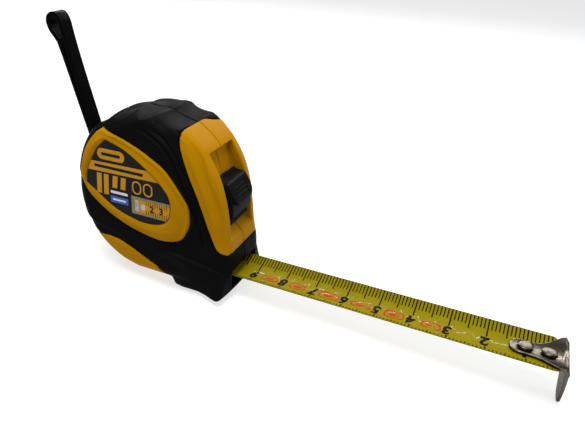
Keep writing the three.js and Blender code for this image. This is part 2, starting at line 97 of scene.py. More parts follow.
def nearest(px, pz, line, closed):
    """Distance to a line of points, and which side of it: negative on its left or inside it."""
    a = np.array(line, float)
    b = np.roll(a, -1, 0)
    if not closed:
        a, b = a[:-1], b[:-1]
    best = np.full(px.shape, 1e9)
    side = np.ones(px.shape)
    inside = np.zeros(px.shape, bool)
    for (ax, az), (bx, bz) in zip(a, b):
        ex, ez = bx - ax, bz - az
        t = np.clip(((px - ax) * ex + (pz - az) * ez) / (ex * ex + ez * ez), 0, 1)
        dx, dz = px - ax - t * ex, pz - az - t * ez
        d = dx * dx + dz * dz
        closer = d < best
        best = np.where(closer, d, best)
        if closed:
            if az != bz:
                inside ^= ((az > pz) != (bz > pz)) & (px < (bx - ax) * (pz - az) / (bz - az) + ax)
        else:
            side = np.where(closer, np.sign(ez * dx - ex * dz), side)
    best = np.sqrt(best)
    if closed:
        side = np.where(inside, -1, 1)
    return (best * side).astype(np.float32)


def area(points):
    """Signed distance to a side-view outline, the same at every Y."""
    return nearest(SX, SZ, points, True)[:, None, :]


def from_line(points):
    """Signed distance to an open line in the side view, the same at every Y."""
    return nearest(SX, SZ, points, False)[:, None, :]


def smax(a, b, k):
    """What both fields hold, with the corner rounded over k."""
    h = np.clip(0.5 + 0.5 * (a - b) / k, 0, 1)
    return b + (a - b) * h + k * h * (1 - h)


def smin(a, b, k):
    """What either field holds, with the corner filled over k."""
    return -smax(-a, -b, k)


def smooth(lo, hi, v):
    """0 at lo and 1 at hi, with a soft start and end."""
    t = np.clip((v - lo) / (hi - lo), 0, 1)
    return t * t * (3 - 2 * t)


def grid(step, *spans):
    """Evenly spaced places along each span."""
    return [np.arange(lo, hi, step, dtype=np.float32) for lo, hi in spans]


def through(at, points):
    """Height of a line of (place, height) points, straight between them."""
    places, heights = zip(*points)
    return np.interp(at, places, heights)


def surface(field, low, step):
    """Vertices and quads where a field crosses zero, one vertex to each crossed cell."""
    f = field.copy()
    f[0], f[-1], f[:, 0], f[:, -1], f[:, :, 0], f[:, :, -1] = 1, 1, 1, 1, 1, 1
    inside = f < 0
    ends = [slice(None, -1), slice(1, None)]
    corners = [(i, j, k) for i in (0, 1) for j in (0, 1) for k in (0, 1)]
    count = sum(inside[ends[i], ends[j], ends[k]].astype(np.int8) for i, j, k in corners)
    active = (count > 0) & (count < 8)
    cells = np.argwhere(active)
    number = np.full(active.shape, -1, np.int64)
    number[active] = np.arange(len(cells))
    value = {c: f[cells[:, 0] + c[0], cells[:, 1] + c[1], cells[:, 2] + c[2]] for c in corners}
    total = np.zeros((len(cells), 3))
    crossings = np.zeros(len(cells))
    for c in corners:
        for axis in range(3):
            if c[axis] == 0:
                d = tuple(1 if m == axis else v for m, v in enumerate(c))
                va, vb = value[c], value[d]
                crossed = (va < 0) != (vb < 0)
                t = np.where(crossed, va / np.where(crossed, va - vb, 1), 0)
                at = np.tile(np.array(c, float), (len(cells), 1))
                at[:, axis] += t
                total += at * crossed[:, None]
                crossings += crossed
    co = (cells + total / crossings[:, None]) * step + low
    faces = []
    for axis in range(3):
        u, v = ((1, 2), (2, 0), (0, 1))[axis]
        lower = tuple(slice(0, -1) if m == axis else slice(1, -1) for m in range(3))
        upper = tuple(slice(1, None) if m == axis else slice(1, -1) for m in range(3))
        a, b = inside[lower], inside[upper]
        at = np.argwhere(a != b)
        out = a[at[:, 0], at[:, 1], at[:, 2]]
        at = at + [0 if m == axis else 1 for m in range(3)]
        ring = []
        for du, dv in ((-1, -1), (0, -1), (0, 0), (-1, 0)):
            shift = np.zeros(3, int)
            shift[u], shift[v] = du, dv
            c = at + shift
            ring.append(number[c[:, 0], c[:, 1], c[:, 2]])
        quad = np.stack(ring, 1)
        faces.append(np.where(out[:, None], quad, quad[:, ::-1]))
    return co, np.concatenate(faces)


def case_mesh(field, name, far_side=False):
    """One half of the case, on the side that its field is for."""
    co, faces = surface(field, (gx[0], gy[0], gz[0]), STEP)
    if not far_side:
        co, faces = co * (1, -1, 1), faces[:, ::-1]
    obj = make_mesh(name, co, faces)
    obj.data.set_sharp_from_angle(angle=SHARP)
    return obj


def add_object(name, data):
    obj = bpy.data.objects.new(name, data)
    scene.collection.objects.link(obj)
    return obj


def make_mesh(name, co, faces, smooth_faces=True):
    """A piece from points in millimetres."""
    mesh = bpy.data.meshes.new(name)
    mesh.from_pydata((np.asarray(co, float) * MM).tolist(), [], [[int(i) for i in f] for f in faces])
    if smooth_faces:
        mesh.shade_smooth()
    return add_object(name, mesh)


# side-view outlines, (x, z): the drum's back and top, its front face, and what closes them far outside
REAR = [(-6.5, 0), (-13.5, 1.9), (-20.4, 5.9), (-26, 11.6), (-30.2, 19.5), (-32, 27.5),
        (-31.8, 34.5), (-29.8, 42), (-26.3, 48.2), (-22.2, 51.4)]
TOP = [(-17.5, 53.8), (-13, 55.5), (-8.6, 56.5), (-4, 57), (0.4, 56.8), (5, 55.6)]
FRONT_FACE = [(9.3, 53.2), (12.3, 51.1), (15, 48.8), (17.2, 46.2), (20.8, 40), (23.2, 33.2), (24.6, 26),
              (25.4, 19.4), (26.2, 14.4), (26.7, 9), (26.7, 3), (26.5, -4)]
BEYOND = [(11, 54.6), (17, 51.5), (23, 45), (28, 35), (31, 20), (32, 8), (28, 0), (12, 0)]
# the nose's half-width against the distance behind the front face
PLAN = [(0, -3), (0, 8.5), (0.35, 10.5), (1.4, 12.0), (3.6, 13.0), (8, 14.0), (13, 15.6), (18, 17),
        (25, 18.6), (60, 19), (60, -3)]
RING = spline([(-18.9, 50.0), (-18.4, 50.35), (-17.8, 50.45), (-11.6, 49.8), (-4.9, 46.9), (2.3, 43.4),
               (5.9, 40.9), (9.3, 37), (12.1, 33.1), (13.6, 30), (14.1, 26.6), (13.6, 22.7),
               (10.7, 18.2), (4.4, 16.8), (-1.3, 17.3), (-9.1, 19.2), (-17.1, 22.8), (-23.7, 27.8),
               (-26.2, 32.5), (-26.3, 35.5), (-24.3, 42.6), (-20.8, 48.4)])
LABEL = spline([(-15.9, 47.5), (-15.4, 47.9), (-14.8, 47.8), (-8, 45.5), (-0.8, 41.1), (2.8, 38.4),
                (6.3, 34.9), (7.8, 32.3), (8.2, 29.3), (7.5, 25.6), (5.5, 23.3), (2.2, 22.1),
                (-1.6, 21.8), (-5.5, 22.2), (-13.4, 24.6), (-21.2, 29.6), (-24.1, 31.5), (-24.4, 32.2),
                (-23.5, 36.6), (-19.4, 44)])
BEZEL_EDGE = [(9.3, 60), (9.2, 52.6), (9.6, 49.6), (10.8, 46), (13.1, 40.4), (16.2, 33.4), (18.8, 26.4),
              (20.9, 20.6), (22.4, 17.4), (23.6, 15.6), (25.2, 14.4), (40, 14.2)]
BEZEL = list(spline(BEZEL_EDGE[1:-1], False, 4)) + [(40, 14.2), (40, 60), (9.3, 60)]
INSERT = [(-34, 8), (-25.5, 12.4), (-20.7, 13.6), (-16, 13.8), (-12, 13.2), (-7, 11.3), (-1, 8.6),
          (3, 7), (4.2, 5), (4.2, -5), (-34, -5)]

outline_c = -area(np.vstack([spline(REAR + TOP + BEYOND[:1], False), BEYOND[1:]]))
front_c = from_line(spline([(2, 56.4), (6, 55.1)] + FRONT_FACE, False))


def crown(c):
    """The drum: its outline shrinks over an elliptical edge towards each side."""
    a = np.maximum(CROWN_DROP - c, 0) / CROWN_DROP
    b = np.maximum(SIDE - 2, 0) / CROWN_REACH
    r = np.maximum(np.sqrt(a * a + b * b), 1e-3)
    slope = np.sqrt((a / CROWN_DROP) ** 2 + (b / CROWN_REACH) ** 2)
    return (r - 1) * r / (slope + 1e-6)


def plan_limit(d):
    """The nose: how far each side reaches at a distance behind the front face."""
    table_d = np.arange(-8, 62, 0.1)
    dd, yy = np.meshgrid(table_d, gy, indexing="ij")
    table = nearest(dd, np.abs(yy), PLAN, True)
    out = np.empty((len(gx), len(gy), len(gz)), np.float32)
    for j in range(len(gy)):
        out[:, j] = np.interp(d[:, 0], table_d, table[:, j])
    return out


def dish(a, b, depth, reach):
    """A shallow finger dish between two ridges of the outline, a and b."""
    (ax, az), (bx, bz) = a, b
    long = math.hypot(bx - ax, bz - az)
    u = ((SX - (ax + bx) / 2) * (bx - ax) + (SZ - (az + bz) / 2) * (bz - az)) / long
    w = ((SX - ax) * (az - bz) + (SZ - az) * (bx - ax)) / long
    near = smooth(-6, -3, w)
    bump = 1 - (u[:, None, :] / (long / 2)) ** 2 - (SIDE / reach) ** 2
    return depth * near[:, None, :] * np.maximum(bump, 0) ** 0.85


RIDGES = [(-26.3, 48.5), (-17.5, 53.9), (-8.6, 56.6), (0.4, 56.9)]
THUMB_REST = [(-1.4, 57.0), (10.2, 52.6)]
REAR_RIDGES = [(-32, 27.5), (-30.8, 21.4), (-28.1, 15.2), (-24.6, 10)]

# relief that follows lines on the flanks
CHANNELS = spline([(-3.5, 54.4), (1.1, 51.9), (4.5, 50), (7.3, 47.4), (10, 43.6), (13.4, 37.4),
                   (16.2, 31), (18.2, 25.2), (19.8, 19.4), (20.8, 14.6)], False)
SHOULDER = spline([(-31, 24.6), (-26.5, 19.6), (-20.7, 17.2), (-13, 15.4), (-6, 12.8), (-0.6, 10.2),
                   (2.6, 7.8)], False)
FLUTE = spline([(12.6, 50), (14.9, 46), (18.9, 37.2), (21.2, 31.2), (23.1, 25.5), (24.2, 18.2),
                (24.6, 15)], False)
PANEL = [(2.9, 10.6), (3.6, 12.6), (5.4, 13.7), (8, 13.9), (12.5, 13.1), (17.2, 11.5), (21.5, 9.8),
         (27.4, 7.6), (27.4, -3), (9, -3), (6.5, 3), (4.3, 6.8)]

# the foot's half-width at its base and at its upper lip, and the lip's height, all along x
FOOT_BASE = [(1, 11), (5, 12.2), (8, 13.9), (11, 14.5), (14, 14.4), (17, 14.5), (20, 15.3), (22.5, 16.4),
             (25, 17.3), (27, 16.6)]
FOOT_LIP = [(3, 17.3), (8, 17.5), (13, 17.1), (18, 15.5), (22, 14.1), (24.5, 13.1), (26.7, 11.8)]
LIP_HEIGHT = [(3, 11.6), (7.3, 13.8), (12.5, 13.1), (17.2, 11.5), (21.5, 9.8), (27, 7.6)]


def foot():
    """The skirt round the mouth: it flares from the flanks to the corners of the base."""
    base, lip = through(SX, FOOT_BASE), through(SX, FOOT_LIP)
    t = np.clip(SZ / through(SX, LIP_HEIGHT), 0, 1.2)
    wide = (base + (lip - base) * t ** 0.9).astype(np.float32)
    slope = np.gradient(wide, STEP)
    flank = (SIDE - wide[:, None, :]) / np.sqrt(1 + slope[0] ** 2 + slope[1] ** 2)[:, None, :]
    front = X - 26.75 + 0.9 * (SIDE / 14) ** 2
    return smax(smax(flank, area(PANEL), 0.9), front, 1.6)


def outer_form():
    """The outside without its dishes, and with them."""
    drum = crown(outline_c)
    nose = plan_limit(front_c)
    smooth_form = smax(drum, nose, 1.2)
    form = smooth_form.copy()
    for a, b in zip(RIDGES, RIDGES[1:]):
        form += dish(a, b, 0.95, 12.5)
    form += dish(*THUMB_REST, 1.4, 14.5) * smooth(9.6, 8.6, SX)[:, None, :]
    for a, b in zip(REAR_RIDGES, REAR_RIDGES[1:]):
        form += dish(a, b, 0.5, 13)
    return smooth_form, form


plain, form = outer_form()
flank_only = smooth(4, 8, SIDE)


def ground(field):
    """Cut off at the flat base."""
    return smax(field, -Z, 0.9)


def wave(at, centre, width):
    """A round-topped ridge, 1 high."""
    return np.exp(-((at - centre) / width) ** 2)


def rubber_skin():
    """The rubber's outside: two channels beside the bezel, a step at the shoulder, and the foot."""
    q = from_line(CHANNELS)
    ends = (smooth(54, 50, SZ) * smooth(14, 20, SZ))[:, None, :]
    cut = 0.5 * wave(q, -0.1, 0.42) + 0.5 * wave(q, 1.7, 0.42)
    rise = -0.35 * wave(q, 0.8, 0.5) - 0.3 * wave(q, 2.6, 0.7)
    relief = (cut + rise) * ends * flank_only
    s = from_line(SHOULDER)
    low = (smooth(5, -1, SX) * smooth(-31, -26, SX))[:, None, :]
    step = 0.45 * wave(np.maximum(s, 0), 0, 1.6) * smooth(0.5, -0.5, -s) - 0.2 * wave(s, -0.6, 0.6)
    relief = relief + step * low * flank_only
    return ground(smin(form + relief + ring_sink(), foot(), 0.35))


def above_label_foot():
    """Height above a slanting line along the label's lower edge."""
    return SZ - 31.6 + 0.357 * (SX + 24.4)


def ring_sink():
    """Under the label the flank falls away towards the ring's lower edge, and comes back past it."""
    ring = area(RING)
    below = smooth(3, -1, above_label_foot())[:, None, :]
    return 0.85 * smooth(-3.4, 0, ring) * wave(np.maximum(ring, 0), 0, 3.2) * below


def yellow_skin():
    """The shell's outside where it shows: the bezel with its flute, and the ring sloping to the label."""
    q = from_line(FLUTE)
    flute = 0.85 * wave(q, -0.5, 1.0) - 0.3 * wave(q, 1.5, 0.7)
    on_flute = (smooth(51, 46, SZ) * smooth(13, 17, SZ))[:, None, :]
    skin = plain + flute * on_flute * smooth(9.6, 11.2, SIDE)
    ring, label = area(RING), area(LABEL)
    within = np.maximum(-ring, 0)
    swell = 0.1 + 0.5 * smooth(0.9, 4.0, within) + 0.3 * wave(within, 0.55, 0.35)
    outer = smax(plain - swell, SIDE - FLAT, 0.3) + ring_sink()
    slope = (0.85 - 0.5 * smooth(2, -1, above_label_foot()))[:, None, :]
    inner = (SIDE - 16.3 - slope * label) / np.sqrt(1 + slope ** 2)
    rim = smax(outer, inner, 0.15)
    return ground(np.where((ring < 1) & (SIDE > 10), rim, skin))


# distances out of the sloping front (N) and up it (U)
FRONT_X, FRONT_Z = SX - FRONT_ORIGIN[0], SZ - FRONT_ORIGIN[1]
FRONT_N = FRONT_X * math.cos(FRONT_LEAN) + FRONT_Z * math.sin(FRONT_LEAN)
FRONT_U = FRONT_Z * math.cos(FRONT_LEAN) - FRONT_X * math.sin(FRONT_LEAN)

# what is hollowed out of the case: half-widths, radii and side-view outlines
ROOM_R, ROOM_HALF = 20.6, 12.2     # for the spool
AXLE_R, AXLE_HALF = 3.5, 13.7
PIN_R, PIN_HALF = 1.4, 6.3
WELL_HALF, CHANNEL_HALF, RECESS_HALF, SLOT_HALF, STRAP_SLOT_HALF = 8.6, 8.9, 7.5, 3.3, 3.2
WELL = [(9, 44), (14.2, 44), (21.6, 18), (22.6, 7.5), (20.1, 7), (17.9, 14.6), (15, 16.5), (14, 20)]
CHANNEL = [(-10, 7.2), (-4, 1.7), (40, 1.7), (40, 7.8), (14, 8.4), (0, 9.2)]
STRAP_SLOT = [(-25.7, 31), (-25.7, 36.5), (-28.2, 45.5), (-40, 50), (-40, 18), (-31, 24.5), (-27, 29.4)]
RECESS_FLOOR = [(0, 0.2), (4.2, -2.2), (20, -2.2), (29.4, -2.5)]     # (U, N)


def hollow():
    """The room inside the case, the recess round the button, and the strap's slot."""
    r = np.hypot(SX - AXIS[0], SZ - AXIS[1])[:, None, :]
    room = np.maximum(r - ROOM_R, SIDE - ROOM_HALF)
    well = np.maximum(area(WELL), SIDE - WELL_HALF)
    channel = smax(area(CHANNEL), SIDE - CHANNEL_HALF, 0.4)
    floor = through(FRONT_U, RECESS_FLOOR) - FRONT_N
    recess = np.maximum(floor, np.abs(FRONT_U - 14.65) - 14.65)[:, None, :]
    recess = smax(recess, SIDE - RECESS_HALF, 0.3)
    slot = np.maximum(np.abs(FRONT_N + 2.5) - 5.5, np.abs(FRONT_U - 13.65) - 6.65)[:, None, :]
    slot = np.maximum(slot, SIDE - SLOT_HALF)
    strap = np.maximum(area(STRAP_SLOT), SIDE - STRAP_SLOT_HALF)
    pin = np.hypot(SX - STRAP_PIN[0], SZ - STRAP_PIN[1])[:, None, :]
    pin = np.maximum(pin - PIN_R, SIDE - PIN_HALF)
    axle = np.maximum(r - AXLE_R, SIDE - AXLE_HALF)
    for part in (well, channel, slot, pin, axle):
        room = np.minimum(room, part)
    return room, recess, strap


SCREWS = [(-20.2, 11.8), (-17.2, 46.8), (6.8, 48.3), (15.8, 10.8)]
SCREW_HEAD_R, SCREW_HOLE_R, SCREW_SEAT = 1.95, 1.2, 12.2


def screw_pockets():
    """A hole for each screw, wider outside its head's seat."""
    out = np.full((1, 1, 1), 50.0)
    for x, z in SCREWS:
        r = np.hypot(SX - x, SZ - z)[:, None, :]
        head = np.maximum(r - SCREW_HEAD_R, SCREW_SEAT - SIDE)
        out = np.minimum(out, np.minimum(head, r - SCREW_HOLE_R))
    return out


HALF_GAP = 0.04                    # of each half, from the plane between them
POCKET_Y = 15.85                   # the label's seat


def build_case():
    """Both shells and both rubber grips."""
    empty, recess, strap = hollow()
    seam = HALF_GAP - Y
    rubber, yellow = rubber_skin(), yellow_skin()
    core = form + CORE_DEPTH
    ring, insert = area(RING), area(INSERT)
    pocket = np.maximum(area(LABEL), POCKET_Y - SIDE)

    def half(bezel):
        raised = smin(smax(yellow, ring, 0.45), smax(yellow, bezel, 0.5), 0.05)
        raised = smin(raised, smax(yellow, insert, 0.5), 0.05)
        raised = np.where((ring < 1) & (SIDE < 10), np.maximum(raised, core), raised)
        shell = np.maximum(np.maximum(np.minimum(core, raised), -pocket), -empty)
        shell = smax(smax(shell, -recess, 0.25), -strap, 0.3)
        shell = ground(smax(shell, seam, 0.12))
        grip = np.maximum(rubber, -(core - 0.15))
        grip = smax(grip, 0.22 - np.minimum(np.minimum(ring, bezel), insert), 0.45)
        grip = smax(np.maximum(grip, -empty), -strap, 0.4)
        return shell, smax(np.maximum(grip, -recess), seam, 0.25)

    bezel = area(BEZEL)
    near_shell, near_grip = half(bezel)
    far_shell, far_grip = half(bezel + 2.0 * smooth(2, 9, SIDE) * smooth(46, 50, SZ)[:, None, :])
    pockets = screw_pockets()
    pieces = [case_mesh(near_shell, "shell_left"), case_mesh(near_grip, "rubber_left"),
              case_mesh(smax(far_shell, -pockets, 0.2), "shell_right", True),
              case_mesh(smax(far_grip, -pockets, 0.2), "rubber_right", True)]
    for obj, node, slot in zip(pieces, ("case_left", "grip_left", "case_right", "grip_right"),
                               ("case_plastic", "grip_rubber") * 2):
        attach(obj, "case")
        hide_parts(node)
    return pieces


shell_left, rubber_left, shell_right, rubber_right = build_case()

# ======================================== lock button


def front_frame(co):
    """From (n out of the front, y, u up it) to the row frame."""
    c, s = math.cos(FRONT_LEAN), math.sin(FRONT_LEAN)
    n, y, u = co[:, 0], co[:, 1], co[:, 2]
    return np.stack([FRONT_ORIGIN[0] + n * c - u * s, y, FRONT_ORIGIN[1] + n * s + u * c], 1)


GROOVE_DEPTH = 0.28
GROOVES = (16.9, 15.65, 14.4, 13.15)
RIB_PITCH = 0.62
FINE = 0.13      # the step of small pieces

# the button's outlines, (out of the front, up it)
GUARD = [(-1.8, 4.6), (-1.0, 4.6), (-1.3, 20.6), (-1.8, 20.6)]
BODY = [(-1.6, 4.7), (-0.5, 4.7), (-0.2, 5.1), (-0.1, 7.2), (1.5, 7.5), (1.8, 7.8), (2.2, 9.2),
        (2.5, 10.6), (2.7, 12), (2.6, 15), (2.4, 17.2), (2.1, 18.4), (1.5, 19.1), (-1.0, 20.3),
        (-1.8, 20.6), (-1.8, 4.7)]
TONGUE = [(-1, 10.3), (3.2, 10.5), (3.9, 11.0), (4.05, 12), (3.7, 14.6), (3.1, 17.0), (2.6, 18.4),
          (2.0, 19.1), (1.0, 19.4), (-1, 19.4)]
SHANK = [(-4.6, 7.6), (0, 7.6), (0, 12.4), (-4.6, 12.4)]


def build_button():
    """A plate over the slot, a ribbed body, a thumb tongue with grooves, and a shank into the case."""
    n1, y1, u1 = grid(FINE, (-5.4, 5.4), (-7.8, 7.8), (3.6, 21.2))
    N, U = np.meshgrid(n1, u1, indexing="ij")
    V = y1[None, :, None]

    def side(points):
        return nearest(N, U, points, True)[:, None, :]

    guard = np.maximum(side(GUARD), np.abs(V) - 7.0)
    body = smax(side(BODY), np.abs(V) - 6.85, 0.7)
    ribs = 0.14 * np.cos((U - 5.3) * 2 * np.pi / RIB_PITCH)[:, None, :]
    body = body + ribs * (smooth(5.0, 5.4, U) * smooth(7.3, 6.9, U))[:, None, :] * (np.abs(V) < 6.3)
    reach = np.sqrt(np.maximum(1 - (np.maximum(15.4 - U, 0) / 5.1) ** 3, 0)) * 6.6
    tongue = smax(side(TONGUE), (np.abs(V) - reach[:, None, :]) * 0.8, 0.45)
    for at in GROOVES:
        groove = np.maximum(np.abs(U - at)[:, None, :] - 0.24, np.abs(V) - 3.6)
        below = GROOVE_DEPTH - np.minimum(tongue + 2 * GROOVE_DEPTH, 2 * GROOVE_DEPTH)
        tongue = np.maximum(tongue, -smax(groove, below, 0.1))
    shank = np.maximum(side(SHANK), np.abs(V) - 2.9)
    field = np.minimum(np.minimum(smin(body, tongue, 0.12), guard), shank)
    co, faces = surface(field, (n1[0], y1[0], u1[0]), FINE)
    button = make_mesh("thumb_button", front_frame(co), faces)
    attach(button, "lock")
    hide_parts("lock_button")
    return button


button = build_button()

# ======================================== blade

BLADE_HALF, SAG, EDGE_Z, THICK = 7.6, 1.8, 6.0, 0.3
BLADE_START, BLADE_END, ZERO = 8.0, 119.6, 121.5     # the scale's zero is the hook's outer face
CORNER_CUT = 1.5                                     # of the two corners at the hook
INK_LIFT, INK_THICK = 0.03, 0.02
INK_DOWN = (0, 0, -INK_THICK)
BLADE_R = (BLADE_HALF ** 2 + SAG ** 2) / (2 * SAG)


def blade_top(y):
    """Height of the strip's upper face across its width, where it lies true."""
    return EDGE_Z - SAG + BLADE_R - np.sqrt(BLADE_R ** 2 - np.asarray(y, float) ** 2)


def blade_at(x, y):
    """Height of the strip: it ripples along its middle; the hook end and the mouth are true."""
    x, y = np.asarray(x, float), np.asarray(y, float)
    fade = np.clip((x - 30) / 12, 0, 1) * np.clip((106 - x) / 8, 0, 1)
    twist = 0.085 * np.sin(x * 1.28) + 0.035 * np.sin(x * 2.56 + 0.6) + 0.03 * np.sin(x * 0.37)
    swell = 0.03 * np.sin(x * 0.9) * (1 - (y / BLADE_HALF) ** 2)
    return blade_top(y) + fade * (swell + twist * y * np.exp(-(y / 2.6) ** 2))


def blade_half(x):
    """Half the strip's width: its two end corners are cut off."""
    return BLADE_HALF - np.maximum(0, CORNER_CUT - (BLADE_END - x))


def build_blade():
    """The pulled-out strip."""
    xs = np.linspace(BLADE_START, BLADE_END, 320)
    ys = np.linspace(-BLADE_HALF, BLADE_HALF, 41)
    top, low = [], []
    for x in xs:
        for y in ys * blade_half(x) / BLADE_HALF:
            top.append((x, y, float(blade_at(x, y))))
            low.append((x, y, top[-1][2] - THICK))
    return slab("steel_tape", top, low, len(xs), len(ys))


def slab(name, top, low, rows, columns):
    """A closed sheet from two matching grids of points."""
    n = rows * columns
    co = np.array(top + low)
    faces = []
    for i in range(rows - 1):
        for j in range(columns - 1):
            a, b = i * columns + j, (i + 1) * columns + j
            c, d = b + 1, a + 1
            faces += [(a, b, c, d), (n + d, n + c, n + b, n + a)]
    for i in range(rows - 1):
        for j, turn in ((0, 1), (columns - 1, -1)):
            a, b = i * columns + j, (i + 1) * columns + j
            faces.append((a, n + a, n + b, b)[::turn])
    for j in range(columns - 1):
        for i, turn in ((0, -1), (rows - 1, 1)):
            a, b = i * columns + j, i * columns + j + 1
            faces.append((a, n + a, n + b, b)[::turn])
    return make_mesh(name, co, faces, False)


def mark_cells(x0, x1, y0, y1, count=6):
    """A printed stroke on the blade: its top and bottom grids."""
    xs, ys = np.array([x0, x1]), np.linspace(y0, y1, count)
    top = [(x, y, float(blade_at(x, y)) + INK_LIFT) for x in xs for y in ys]
    low = [(x, y, z - INK_THICK) for x, y, z in top]
    return top, low


# millimetre strokes: every how many, reach from the far edge and from the near one, and width
TICKS = [(10, 6.5, 3.0, 0.4), (5, 5.0, 2.3, 0.36), (1, 3.6, 1.7, 0.32)]
FIRST_TICK, LAST_TICK = 4, 97


def build_ticks():
    """The millimetre strokes along both edges, clear of the hook and the mouth."""
    co, faces = [], []
    for mm in range(FIRST_TICK, LAST_TICK + 1):
        x = ZERO - mm
        far, near, wide = next(tick[1:] for tick in TICKS if mm % tick[0] == 0)
        edge = blade_half(x + wide / 2) - 0.04
        for y0, y1 in ((BLADE_HALF - far, edge), (-edge, near - BLADE_HALF)):
            top, low = mark_cells(x - wide / 2, x + wide / 2, y0, y1)
            base, n = len(co), len(top)
            co += top + low
            c = n // 2
            for j in range(c - 1):
                a, b, d, e = base + j, base + c + j, base + c + j + 1, base + j + 1
                faces += [(a, b, d, e), (n + e, n + d, n + b, n + a)]
                faces += [(a, e, n + e, n + a), (b, n + b, n + d, d)]
            a, b = base, base + c
            faces.append((a, n + a, n + b, b))
            a, b = base + c - 1, base + 2 * c - 1
            faces.append((a, b, n + b, n + a))
    return make_mesh("tape_ticks", co, faces, False)


def glyph(text, size, shear=0.0, weight=0.0):
    """The outline faces of a plain numeral, as a flat mesh in millimetres, centred on its middle."""
    data = bpy.data.curves.new("glyph", "FONT")
    data.body = text
    data.size = size
    data.shear = shear
    data.offset = weight
    data.align_x, data.align_y = "CENTER", "CENTER"
    data.resolution_u = 4
    obj = add_object("glyph", data)
    bpy.context.view_layer.update()
    mesh = bpy.data.meshes.new_from_object(obj.evaluated_get(bpy.context.evaluated_depsgraph_get()))
    bpy.data.objects.remove(obj)
    bm = bmesh.new()
    bm.from_mesh(mesh)
    bmesh.ops.remove_doubles(bm, verts=bm.verts, dist=1e-4)
    bmesh.ops.triangulate(bm, faces=bm.faces)
    for _ in range(3):          # short edges, so that a numeral can follow the blade's curve
        long = [e for e in bm.edges if e.calc_length() > 0.9]
        if long:
            bmesh.ops.subdivide_edges(bm, edges=long, cuts=1)
            bmesh.ops.triangulate(bm, faces=bm.faces)
    bm.verts.index_update()
    co = np.array([v.co[:2] for v in bm.verts])
    faces = [[v.index for v in f.verts] for f in bm.faces]
    edge_loops = [e.link_loops[0] for e in bm.edges if len(e.link_faces) == 1]
    rim = [[loop.vert.index, loop.link_loop_next.vert.index] for loop in edge_loops]
    bm.free()
    co = co - (co.max(0) + co.min(0)) / 2
    return co, faces, rim


def printed(name, flats, lift):
    """Joins flat glyphs into one closed thin piece; each flat is (top points, faces, rim edges)."""
    co, faces = [], []
    for top, tris, rim in flats:
        base, n = len(co), len(top)
        co += [tuple(p) for p in top] + [tuple(np.add(p, lift)) for p in top]
        faces += [tuple(base + i for i in f) for f in tris]
        faces += [tuple(base + n + i for i in reversed(f)) for f in tris]
        faces += [(base + b, base + a, base + n + a, base + n + b) for a, b in rim]
    return make_mesh(name, co, faces, False)


def on_blade(co, x, y):
    """Glyph points laid on the blade; the scale is read from the far side."""
    px, py = x - co[:, 0], y - co[:, 1]
    return np.stack([px, py, blade_at(px, py) + INK_LIFT], 1)


def build_numerals():
    """The centimetre numerals."""
    flats = []
    for k in range(1, 10):
        co, faces, rim = glyph(str(k), 6.2, 0.12, 0.3)
        flats.append((on_blade(co * (0.76, 1), ZERO - 10 * k - 0.2, -1.75), faces, rim))
    return printed("tape_numerals", flats, INK_DOWN)


def rounded_bar(width, height, corner, steps=5):
    """The outline of a bar with round corners."""
    pts = []
    for cx, cy, a0 in ((1, 1, 0), (-1, 1, 90), (-1, -1, 180), (1, -1, 270)):
        for i in range(steps + 1):
            a = math.radians(a0 + 90 * i / steps)
            x = cx * (width / 2 - corner) + corner * math.cos(a)
            y = cy * (height / 2 - corner) + corner * math.sin(a)
            pts.append((x, y))
    return np.array(pts)


def outline_ring(outer, inner):
    """A flat band between two outlines with the same number of points."""
    n = len(outer)
    co = np.vstack([outer, inner])
    faces = [(i, (i + 1) % n, n + (i + 1) % n, n + i) for i in range(n)]
    rim = [(i, (i + 1) % n) for i in range(n)] + [(n + (i + 1) % n, n + i) for i in range(n)]
    return co, faces, rim


def fan(outline):
    """A filled outline that its middle sees all of."""
    n = len(outline)
    co = np.vstack([outline, outline.mean(0)])
    return co, [(i, (i + 1) % n, n) for i in range(n)], [(i, (i + 1) % n) for i in range(n)]


# plain red marks between the numerals: where in centimetres, width and height
RED_MARKS = [(8.48, 5.6, 3.2), (7.52, 5.2, 3.8), (6.5, 6.4, 4.2), (5.5, 6.0, 2.6), (4.5, 5.8, 4.2),
             (3.45, 5.6, 3.6)]
RED_BAND, RED_ROUND = 0.9, 0.36


def build_red_marks():
    """Each is a rounded ring with a bar in it."""
    flats = []
    for k, wide, high in RED_MARKS:
        body = rounded_bar(wide, high, RED_ROUND * high)
        hole = rounded_bar(wide - RED_BAND, high - RED_BAND, RED_ROUND * (high - RED_BAND))
        middle = rounded_bar(wide * 0.5, high * 0.3, high * 0.14)
        for co, faces, rim in (outline_ring(body, hole), fan(middle)):
            flats.append((on_blade(co, ZERO - 10 * k, -1.6), faces, rim))
    return printed("tape_red_marks", flats, INK_DOWN)


tape = build_blade()
tape_prints = [build_ticks(), build_numerals(), build_red_marks()]
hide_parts("blade")
for obj in [tape] + tape_prints:
    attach(obj, "blade")
    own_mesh(obj)

# ======================================== hook

HOOK_LEAN = math.tan(math.radians(4))    # the drop plate leans forward towards its tip
HOOK_GAP, HOOK_THICK = 0.27, 0.7         # above the blade, and of the plate that lies on it
DROP_X, DROP_HALF_THICK = 121.1, 0.4     # the drop plate at its top
FOLD_START, FOLD_END = 120.2, 121.4      # where the plate comes off the blade's curve, and its outer face
RIVETS = (116.8, 111.0)

# half of the hook's plan, (x, y), up to the fold
HOOK_PLAN = spline([(107.1, 0.0), (107.4, 1.5), (108.6, 2.75), (110.4, 3.15), (112.8, 3.15), (114.9, 3.7),
                    (117.2, 5.3), (119.4, 7.2)], False, 5)
